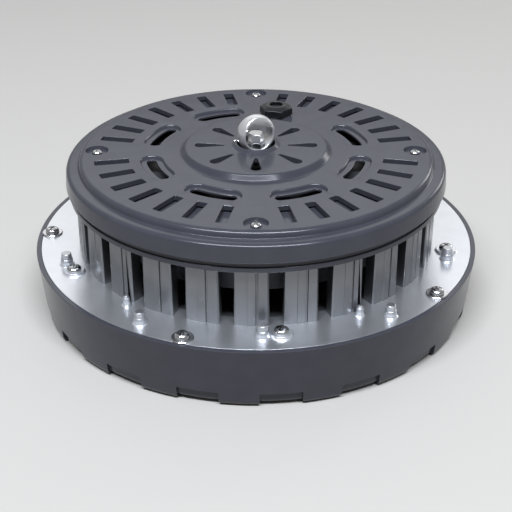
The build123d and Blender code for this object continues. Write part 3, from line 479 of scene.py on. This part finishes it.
def makeCover():
    c = cover
    top, under, sheet = c["top"], c["under"], c["sheet"]
    cap = turned("slottedCover", [
        (0, c["cupFloor"], 0), (c["cupRadius"], c["cupFloor"], 0.4), (c["cupRadius"], c["hubTop"], 0.3),
        (c["cupRadius"] + 1.0, c["hubTop"], 0.3), (c["hubRadius"] + 0.4, c["discTop"], 0.7),
        (c["discRadius"], c["discTop"], 1.0), (c["discRadius"] + c["discSlope"], top, 1.2),
        (c["topRadius"], top, c["edge"]), (c["topRadius"] + 0.25, c["ledgeTop"], 1.0),
        (c["ledgeRadius"], c["ledgeTop"], c["ledgeEdge"]), (c["radius"], c["foot"], 1.0),
        (c["skirtRadius"], c["foot"], 0.5), (c["skirtRadius"], c["lipTop"], 0.6),
        (c["lipRadius"], c["lipTop"], 0.5), (c["lipRadius"], c["skirtFoot"], 0.5),
        (c["skirtInner"], c["skirtFoot"], 0.3), (c["skirtInner"], c["columnTop"], 0),
        (c["skirtInnerWall"], c["columnTop"], 0), (c["skirtInnerWall"], c["ledgeUnder"], 0.6),
        (c["topRadius"] - sheet, c["ledgeUnder"], 0), (c["topRadius"] - sheet, under, 0),
        (c["discRadius"], under, 0), (c["discRadius"] - c["discSlope"], c["discTop"] - sheet, 0),
        (c["hubInner"], c["discTop"] - sheet, 0), (c["hubInner"], c["cupFloor"] - sheet, 0),
        (c["stemRadius"], c["cupFloor"] - sheet, 0), (c["stemRadius"], c["hubBottom"], 0),
        (0, c["hubBottom"], 0), (0, c["cupFloor"], 0)], steps=192)
    boss = raised("coverBoss", ring(c["bossRadius"], 20, x=c["screwCircle"]),
                  [(c["columnTop"], 0), (under + 1, 0)])
    combine(cap, aroundAxis(boss, rounds(c["screws"])), "UNION")
    ventAngles = [number * 360 / c["vents"] for number in range(c["vents"]) if number % c["ventSkip"]]
    arcAngles = [a for a in rounds(c["arcs"], c["arcStart"]) if abs(a - c["glandAngle"]) > c["glandClear"]]
    depth = c["recessDepth"]
    recess = raised("arcRecess", bentStadium(c["arcCircle"], c["recessWidth"], c["recessSpan"]), [
        (top - depth, -0.9), (top - 0.5 * depth, -0.5), (top - 0.15 * depth, 0), (top, 0.5),
        (top + c["over"], 0.5)])
    combine(cap, aroundAxis(recess, arcAngles), "DIFFERENCE")
    vent = raised("vent", roundedBar(c["ventCircle"], c["ventLength"], c["ventWidth"], c["ventCorner"]),
                  rimLevels(under - 1, top, c["ventMouth"]))
    vents = aroundAxis(vent, ventAngles)
    arc = raised("arcSlot", bentStadium(c["arcCircle"], c["arcWidth"], c["arcSpan"]),
                 rimLevels(under - 1, top - depth, c["arcMouth"]))
    arcs = aroundAxis(arc, arcAngles)
    petal = raised("petal", teardrop(c["petalOut"], c["petalOutRadius"], c["petalIn"], c["petalInRadius"]),
                   rimLevels(c["discTop"] - c["petalDepth"], c["discTop"], c["petalMouth"]))
    petals = aroundAxis(petal, rounds(c["petals"]))
    sunk = c["screwDepth"]
    screwRecess = raised("screwRecess", ring(c["screwRecess"], 40, x=c["screwCircle"]), [
        (top - sunk, -0.8), (top - 0.5 * sunk, -0.35), (top, 0), (top + c["over"], 0)])
    screwRecesses = aroundAxis(screwRecess, rounds(c["screws"]))
    glandHole = raised("glandHole", ring(c["glandHole"], 32, x=c["glandCircle"]),
                       [(under - 1, 0), (top + c["over"], 0)])
    glandHole = aroundAxis(glandHole, [c["glandAngle"]])
    combine(cap, joined([vents, arcs, petals, screwRecesses, glandHole]), "DIFFERENCE")
    return finished(cap, "top_cover")


makeCover()
print("top cover made")

# heat sink: flange plate, columns, pads, studs, posts and pins, with low fins and posts inside
heatSink = {
    "plateRadius": 156.4, "plateTop": 44.5, "plateBottom": 40.5, "plateEdge": 0.12,
    "sunk": 0.5, "lap": 0.03, "fixings": 5, "columns": 25, "columnRadius": 129.0, "columnInner": 119.0,
    "columnTop": 88.0, "skin": 3.0, "columnBevel": 0.22, "sidesPast": 8.2,
    "gapWidth": 9.5, "gapDraft": 0.57, "gapAngle": -83.8, "chamfer": 1.2, "pocketHalf": 7.5, "rightTrim": 1.1,
    "grooveStart": 2.0, "grooveEnd": 3.6, "grooveDepth": 1.1, "stepStart": 3.4, "stepDepth": 0.45,
    "finInner": 34.0, "finOuter": 116.0, "finHeight": 10.0, "finThickness": 2.4,
    "bossCircle": 113.2, "bossRadius": 5.0, "trayPostCircle": 92.0, "trayPostRadius": 5.0,
    "trayPostAngle": 40.0, "trayPostTop": 58.0,
    "padCircle": 139.0, "padAngle": -83.3, "padRadius": 7.25, "padTop": 46.3,
    "studCircle": 141.0, "studLag": 5.0, "studRadius": 4.2, "studTop": 53.5,
    "postCircle": 145.5, "postAngles": (-121.0, -53.0, 23.0, 91.0), "postRadius": 3.8, "postTop": 53.0,
    "pinCircle": 133.2, "pinAngles": (-130.0, -59.5, 14.0, 84.5), "pinRadius": 2.3, "pinTop": 51.5,
    "flangeCircle": 150.3, "flangeAngle": -108.0, "shankHole": 2.65, "leadPlace": 18.0, "leadHole": 5.0,
}


def columnOutline():
    # seen from above: a chamfered front with a shallow groove and a fine step, and a hollow back
    h = heatSink
    turn = pi / h["columns"]

    def onArc(y, depth=0.0):
        return (sqrt(h["columnRadius"] ** 2 - y ** 2) - depth, y)

    def onSide(radius, back=0.0):
        return (radius * cos(turn) + h["gapWidth"] / 2 * sin(turn) - back,
                radius * sin(turn) - h["gapWidth"] / 2 * cos(turn))

    corner = onSide(h["columnRadius"], h["chamfer"])
    inner = onSide(h["columnInner"])
    outerY = onSide(h["columnRadius"])[1] - h["chamfer"]
    trim = h["rightTrim"]
    back = h["columnRadius"] - h["skin"]
    deep = h["grooveDepth"]
    return [onArc(-outerY, h["stepDepth"]), onArc(-h["stepStart"], h["stepDepth"]), onArc(-h["stepStart"]),
            onArc(-1), onArc(h["grooveStart"]), onArc(h["grooveStart"] + 0.3, deep),
            onArc(h["grooveEnd"] - 0.3, deep), onArc(h["grooveEnd"]), onArc((h["grooveEnd"] + outerY) / 2),
            onArc(outerY - trim), (corner[0], corner[1] - trim), (inner[0], inner[1] - trim),
            (inner[0], h["pocketHalf"]), (back, h["pocketHalf"]), (back, -h["pocketHalf"]),
            (inner[0], -h["pocketHalf"]), (inner[0], -inner[1]), (corner[0], -corner[1])]


def turnedPost(name, radius, bottom, top, shoulder=0.55):
    # a cast post: a flared foot, a shoulder and a rounded top
    step = bottom + shoulder * (top - bottom)
    sunk, lap = bottom - heatSink["sunk"], bottom + heatSink["lap"]
    return turned(name, [
        (0, sunk, 0), (radius + 1.2, sunk, 0), (radius + 1.2, lap, 0), (radius + 0.5, bottom + 0.35, 0.2),
        (radius + 0.2, bottom + 1.2, 0.3), (radius, step, 0.25), (radius - 0.5, step + 0.1, 0.1),
        (radius - 0.75, top, 0.5), (0, top, 0), (0, sunk, 0)], steps=28)


def footed(rise, *levels):
    # levels of a piece that starts in the plate, with a flared foot
    base = heatSink["plateTop"]
    return [(base - heatSink["sunk"], 0.5), (base + heatSink["lap"], 0.5), (base + rise, 0), *levels]


def moved(piece, radius, height=0.0):
    piece.matrix_world = Matrix.Translation((radius * mm, 0, height * mm)) @ piece.matrix_world
    return settled(piece)


def makeHeatSink():
    h = heatSink
    base = h["plateTop"]
    sunk, lap = base - h["sunk"], base + h["lap"]
    casting = turned("heatSinkCasting", [
        (0, h["plateBottom"], 0), (h["plateRadius"], h["plateBottom"], 0.3),
        (h["plateRadius"], base, h["plateEdge"]), (0, base, 0), (0, h["plateBottom"], 0)], steps=180)
    columnAngles = rounds(h["columns"], h["gapAngle"] + 180 / h["columns"])
    padAngles = rounds(h["fixings"], h["padAngle"])
    column = raised("column", columnOutline(), [(sunk, 0), (h["columnTop"], 0)])
    for vertex in column.data.vertices:  # the casting's draft: the gap narrows towards the plate
        if abs(vertex.co.y) > h["sidesPast"] * mm:
            share = (h["columnTop"] - vertex.co.z / mm) / (h["columnTop"] - base)
            vertex.co.y += (1 if vertex.co.y > 0 else -1) * h["gapDraft"] * mm * share
    bevelSharp(column, h["columnBevel"])
    columns = aroundAxis(column, columnAngles)
    wide, narrow = h["padRadius"] + 0.9, h["padRadius"] - 0.1
    pad = turned("pad", [
        (0, sunk, 0), (wide, sunk, 0), (wide, lap, 0), (h["padRadius"] + 0.1, base + 0.5, 0.3),
        (narrow, h["padTop"], 0.4), (0, h["padTop"], 0), (0, sunk, 0)], steps=36)
    pads = aroundAxis(moved(pad, h["padCircle"]), padAngles)
    stud = turnedPost("stud", h["studRadius"], base, h["studTop"])
    studs = aroundAxis(moved(stud, h["studCircle"]), rounds(h["fixings"], h["padAngle"] - h["studLag"]))
    post = turnedPost("post", h["postRadius"], base, h["postTop"])
    posts = aroundAxis(moved(post, h["postCircle"]), h["postAngles"])
    pin = turnedPost("pin", h["pinRadius"], base, h["pinTop"], 0.8)
    pins = aroundAxis(moved(pin, h["pinCircle"]), h["pinAngles"])
    middle = (h["finInner"] + h["finOuter"]) / 2
    fin = raised("fin", roundedBar(middle, h["finOuter"] - h["finInner"], h["finThickness"], 0.6),
                 footed(0.6, (base + h["finHeight"] - 0.4, -0.2), (base + h["finHeight"], -0.5)))
    fins = aroundAxis(fin, columnAngles)
    combine(casting, joined([columns, pads, posts, fins]), "UNION")  # what is joined at once doesn't touch
    boss = raised("boss", ring(h["bossRadius"], 24, x=h["bossCircle"]), footed(0.7, (h["columnTop"], 0)))
    bosses = aroundAxis(boss, rounds(4))
    trayPost = raised("trayPost", ring(h["trayPostRadius"], 24, x=h["trayPostCircle"]),
                      footed(0.7, (h["trayPostTop"], 0)))
    trayPosts = aroundAxis(trayPost, rounds(4, h["trayPostAngle"]))
    combine(casting, joined([bosses, trayPosts, studs, pins]), "UNION")
    through = [(h["plateBottom"] - 1, 0), (h["padTop"] + 1, 0)]
    flangeHole = raised("hole", ring(h["shankHole"], 20, x=h["flangeCircle"]), through)
    flangeHoles = aroundAxis(flangeHole, rounds(h["fixings"], h["flangeAngle"]))
    padHole = raised("hole", ring(h["shankHole"], 20, x=h["padCircle"]), through)
    padHoles = aroundAxis(padHole, padAngles)
    leadHole = raised("hole", ring(h["leadHole"], 28, x=h["leadPlace"]),
                      [(h["plateBottom"] - 1, 0), (base + 1, 0)])
    combine(casting, joined([flangeHoles, padHoles]), "DIFFERENCE")
    combine(casting, leadHole, "DIFFERENCE")
    return finished(casting, "heat_sink")


makeHeatSink()
print("heat sink made")

# screws: a domed head with a cross recess, modelled once for each size and copied
screws = {
    "flangeScrew": {"node": "flange_screws", "head": 5.0, "height": 3.2, "shank": 2.5, "length": 22.0,
                    "circle": 150.3, "count": 5, "angle": -108.0, "seat": 45.7},
    "padScrew": {"node": "pad_screws", "head": 5.0, "height": 3.0, "shank": 2.5, "length": 16.0,
                 "circle": 139.0, "count": 5, "angle": -83.3, "seat": 46.3},
    "coverScrew": {"node": "cover_screws", "head": 3.6, "height": 2.2, "shank": 2.0, "length": 30.0,
                   "circle": 113.2, "count": 4, "angle": 0.0, "seat": 108.6},
}


def crossOutline(reach, half):
    return [(reach, -half), (reach, half), (half, half), (half, reach), (-half, reach), (-half, half),
            (-reach, half), (-reach, -half), (-half, -half), (-half, -reach), (half, -reach), (half, -half)]


def makeScrews(name, s):
    top = s["height"]
    head = s["head"]
    screw = turned(name, [
        (0, -s["length"], 0), (s["shank"] * 0.8, -s["length"], 0), (s["shank"], 0.4 - s["length"], 0),
        (s["shank"], 0, 0), (head, 0, 0.15), (head, 0.38 * top, 0.3), (0.86 * head, 0.8 * top, 0.9),
        (0.5 * head, top, 1.0), (0, top, 0), (0, -s["length"], 0)], steps=40)
    recess = raised("recess", crossOutline(0.55 * head, 0.55),
                    [(0.35 * top, -0.25), (top - 0.2, 0), (top + 0.5, 0.25)])
    combine(screw, recess, "DIFFERENCE")
    twins = []
    for number, angle in enumerate(rounds(s["count"], s["angle"])):
        drive = Matrix.Rotation(radians(37 * number + 12), 4, "Z")  # each screw stops at its own angle
        seat = Matrix.Translation((s["circle"] * mm, 0, s["seat"] * mm))
        twins.append(copied(screw, Matrix.Rotation(radians(angle), 4, "Z") @ seat @ drive))
    bpy.data.objects.remove(screw)
    for twin in twins:
        twin.name = name
    return finished(joined(twins), s["node"])


for screwName, screwSizes in screws.items():
    makeScrews(screwName, screwSizes)

washers = {
    "count": 5, "radius": 7.5, "hole": 2.65, "thickness": 1.2, "circle": 150.3, "angle": -108.0, "seat": 44.5,
}


def makeWashers():
    w = washers
    washer = turned("flangeWasher", [
        (w["hole"], 0, 0.1), (w["radius"], 0, 0.15), (w["radius"], 0.6 * w["thickness"], 0.15),
        (w["radius"] - 0.5, w["thickness"], 0.15), (w["hole"], w["thickness"], 0.1),
        (w["hole"], 0, 0)], steps=48)
    moved(washer, w["circle"], w["seat"])
    return finished(aroundAxis(washer, rounds(w["count"], w["angle"])), "flange_washers")


makeWashers()
print("screws and washers made")

# hanging ring with its nut and bolt
hangingRing = {
    "radius": 13.6, "bore": 10.3, "width": 12.0, "faceRadius": 11.8, "middle": 124.0, "turn": 25.0,
    "crownWidth": 6.4, "crownDrop": 8.0, "foot": 0.6, "edge": 0.55, "nutFlats": 11.0, "nutHeight": 4.4,
    "spot": 114.2, "spotRadius": 6.65, "boltHole": 4.15, "boltHoleFoot": 105.0, "slab": 16,
    "boltFlats": 10.0, "boltHead": 6.0, "boltRadius": 4.0, "boltLength": 15.5,
}


def makeRing():
    r = hangingRing
    half = r["width"] / 2
    sagitta = r["radius"] - r["faceRadius"]
    curve = (half ** 2 + sagitta ** 2) / (2 * sagitta)
    outer = []
    for number in range(13):
        y = -half + r["width"] * number / 12
        outer.append((r["radius"] - curve + sqrt(curve ** 2 - y ** 2), y, 0))
    band = turned("hangingRing", [*outer, (r["bore"], half, 0), (r["bore"], -half, 0), outer[0]], steps=96)
    band.matrix_world = Matrix.Rotation(radians(90), 4, "X") @ band.matrix_world
    settled(band)
    low, high = r["foot"] - r["radius"], r["radius"] - r["crownDrop"]
    crown = r["crownWidth"] / 2
    slab = raised("crownShape", [
        (-half - 1, low), (half + 1, low), (half + 1, high), (half, high), (crown, r["radius"] + 1),
        (-crown, r["radius"] + 1), (-half, high), (-half - 1, high)], [(-r["slab"], 0), (r["slab"], 0)])
    slab.matrix_world = Matrix.Rotation(radians(120), 4, Vector((1, 1, 1))) @ slab.matrix_world
    settled(slab)
    combine(band, slab, "INTERSECT")
    bevelSharp(band, r["edge"], segments=3)
    band.matrix_world = (Matrix.Translation((0, 0, r["middle"] * mm))
                         @ Matrix.Rotation(radians(r["turn"]), 4, "Z") @ band.matrix_world)
    settled(band)
    spot = r["spot"]
    spotFace = raised("spotFace", ring(r["spotRadius"], 32), [(spot, 0), (spot + 6, 0)])
    combine(band, spotFace, "DIFFERENCE")
    boltHole = raised("boltHole", ring(r["boltHole"], 24), [(r["boltHoleFoot"], 0), (spot + 1, 0)])
    combine(band, boltHole, "DIFFERENCE")
    return finished(band, "hanging_ring")


def hexagon(flats, start=0.0):
    return ring(flats / sqrt(3), 6, start)


def domedHexagon(name, flats, bottom, top):
    # a hexagon whose corners are turned down to a cone at the top
    block = raised(name, hexagon(flats), [(bottom, 0), (top, 0)])
    corner = flats / sqrt(3)
    cone = turned("cone", [
        (0, bottom - 1, 0), (corner + 1, bottom - 1, 0), (corner + 1, top - 0.9, 0),
        (corner + 0.05, top - 0.9, 0), (0.46 * flats, top, 0.3), (0, top, 0), (0, bottom - 1, 0)], steps=48)
    return combine(block, cone, "INTERSECT")


def makeNutAndBolt():
    r = hangingRing
    spot = r["spot"]
    seat = spot + r["nutHeight"]
    nut = domedHexagon("ringNut", r["nutFlats"], spot, seat)
    nutHole = raised("nutHole", ring(r["boltHole"], 24), [(spot - 1, 0), (seat + 1, 0)])
    combine(nut, nutHole, "DIFFERENCE")
    bevelSharp(nut, 0.15)
    finished(nut, "ring_nut")
    bolt = domedHexagon("ringBolt", r["boltFlats"], seat, seat + r["boltHead"])
    bevelSharp(bolt, 0.2)
    radius, end = r["boltRadius"], seat - r["boltLength"]
    shank = turned("shank", [
        (0, end, 0), (radius - 0.5, end, 0.2), (radius, end + 0.6, 0), (radius, seat + 1, 0),
        (0, seat + 1, 0), (0, end, 0)], steps=24)
    combine(bolt, shank, "UNION")
    finished(bolt, "ring_bolt", finish=finishOf["ring_chrome"])


makeRing()
makeNutAndBolt()
print("hanging ring made")

# cable gland: a low hexagon with a coned top and a round mouth
gland = {
    "circle": 70.7, "angle": 77.5, "flats": 22.0, "base": 111.7, "top": 118.9, "dome": 2.0, "rim": 2.4,
    "mouth": 5.0, "mouthDepth": 3.0, "sealRadius": 6.2, "stemRadius": 8.0, "stemBottom": 102.0,
}


def makeGland():
    g = gland
    body = raised("glandBody", hexagon(g["flats"], 30),
                  [(g["base"], -0.3), (g["base"] + 0.3, 0), (g["top"], 0)])
    corner = g["flats"] / sqrt(3)
    cone = turned("glandCone", [
        (0, g["base"] - 1, 0), (corner + 2, g["base"] - 1, 0), (corner + 2, g["top"] - g["dome"] - 0.6, 0),
        (corner + 0.1, g["top"] - g["dome"] - 0.6, 0), (g["flats"] / 2, g["top"] - g["dome"] + 0.1, 1.0),
        (g["mouth"] + g["rim"], g["top"], 0.8), (0, g["top"], 0), (0, g["base"] - 1, 0)], steps=64)
    combine(body, cone, "INTERSECT")
    bevelSharp(body, 0.3)
    stem = raised("glandStem", ring(g["stemRadius"], 40),
                  [(g["stemBottom"], -0.5), (g["stemBottom"] + 0.5, 0), (g["base"] + 1, 0)])
    combine(body, stem, "UNION")
    sealHole = raised("sealHole", ring(g["sealRadius"], 36),
                      [(g["stemBottom"] - 1, 0), (g["top"] - g["mouthDepth"], 0)])
    combine(body, sealHole, "DIFFERENCE")
    mouth = raised("mouth", ring(g["mouth"], 36), rimLevels(g["top"] - g["mouthDepth"] - 1, g["top"], 0.5))
    combine(body, mouth, "DIFFERENCE")
    moved(body, g["circle"])
    body = finished(aroundAxis(body, [g["angle"]]), "gland_body")
    body.name = "glandBody"
    return body


makeGland()
print("gland made")

# front lens: an opal disc with a flange behind the bezel's lip
lens = {"radius": 122.7, "flangeRadius": 126.7, "front": 0.8, "flange": 3.8, "back": 6.3}


def makeLens():
    n = lens
    disc = turned("frontLens", [
        (0, n["front"], 0), (n["radius"], n["front"], 0.6), (n["radius"], n["flange"], 0.1),
        (n["flangeRadius"], n["flange"], 0.2), (n["flangeRadius"], n["back"], 0.3), (0, n["back"], 0),
        (0, n["front"], 0)], steps=144)
    return finished(disc, "front_lens")


makeLens()
print("front lens made")

# camera, light and floor
view = {
    "centre": (0, 0, 0.060), "aim": (0, 0, 0.025), "distance": 0.850, "elevation": 26.75, "lens": 81.5,
    "near": 0.01,
}
studio = {
    "skyLow": 0.34, "skyTop": 0.47, "skyRise": (0.0, 0.8), "frontShade": 0.42, "frontReach": (-0.95, 0.9),
    "screenGain": 1.0, "screenReach": (0.6, 0.85), "screenFoot": (0.34, 0.46),
    "floorSize": 14, "floorColour": (0.455, 0.437, 0.41), "floorRoughness": 0.9,
}

bpy.ops.mesh.primitive_plane_add(size=studio["floorSize"])
floor = bpy.context.object
floor.name = "studioFloor"
floorPaint = bpy.data.materials.new("floorPaint")
floorPaint.use_nodes = True
floorShader = floorPaint.node_tree.nodes["Principled BSDF"]
floorShader.inputs["Base Color"].default_value = (*studio["floorColour"], 1)
floorShader.inputs["Roughness"].default_value = studio["floorRoughness"]
floor.data.materials.append(floorPaint)

world = bpy.data.worlds.new("softStudio")
bpy.context.scene.world = world
world.use_nodes = True
air = world.node_tree
sky = air.nodes["Background"]
sky.inputs["Color"].default_value = (1, 1, 1, 1)
skyPlace = air.nodes.new("ShaderNodeTexCoord")
skySplit = air.nodes.new("ShaderNodeSeparateXYZ")
air.links.new(skyPlace.outputs["Generated"], skySplit.inputs["Vector"])
skyHeight, skyDepth = skySplit.outputs["Z"], skySplit.outputs["Y"]
glow = ramp(air, skyHeight, *studio["skyRise"], studio["skyLow"], studio["skyTop"])  # lighter towards the top
nearSide = ramp(air, skyDepth, *studio["frontReach"], studio["frontShade"], 1)  # the room is darker there
screen = ramp(air, skyDepth, *studio["screenReach"], 0, studio["screenGain"])  # a bright screen at the back
screenFoot = ramp(air, skyHeight, *studio["screenFoot"], 0, 1)
room = maths(air, "MULTIPLY", glow, nearSide)
screenGlow = maths(air, "MULTIPLY", screen, screenFoot)
air.links.new(maths(air, "ADD", room, screenGlow), sky.inputs["Strength"])

lampAim = (0, 0, 0.08)
lamps = {
    "keyLamp": {"place": (-0.1, -1.2, 2.45), "size": (2.4, 0.22), "power": 130, "colour": (0.87, 0.92, 1.0)},
    "edgeLamp": {"place": (1.2, 1.2, 0.6), "size": (0.4, 0.6), "power": 3, "colour": (1.0, 1.0, 1.0)},
}
for lampName, lamp in lamps.items():
    bpy.ops.object.light_add(type="AREA", location=lamp["place"])
    lampObject = bpy.context.object
    lampObject.name = lampName
    lampObject.data.shape = "RECTANGLE"
    lampObject.data.size, lampObject.data.size_y = lamp["size"]
    lampObject.data.energy = lamp["power"]
    lampObject.data.color = lamp["colour"]
    toLight = Vector(lampAim) - Vector(lamp["place"])
    lampObject.rotation_euler = toLight.to_track_quat("-Z", "Y").to_euler()

rise = radians(view["elevation"])
cameraPlace = Vector(view["centre"]) + view["distance"] * Vector((0, -cos(rise), sin(rise)))
bpy.ops.object.camera_add(location=cameraPlace)
camera = bpy.context.object
camera.data.lens = view["lens"]
camera.data.clip_start = view["near"]
camera.rotation_euler = (Vector(view["aim"]) - cameraPlace).to_track_quat("-Z", "Y").to_euler()
bpy.context.scene.camera = camera
bpy.context.scene.view_settings.view_transform = "Standard"
print("studio set")
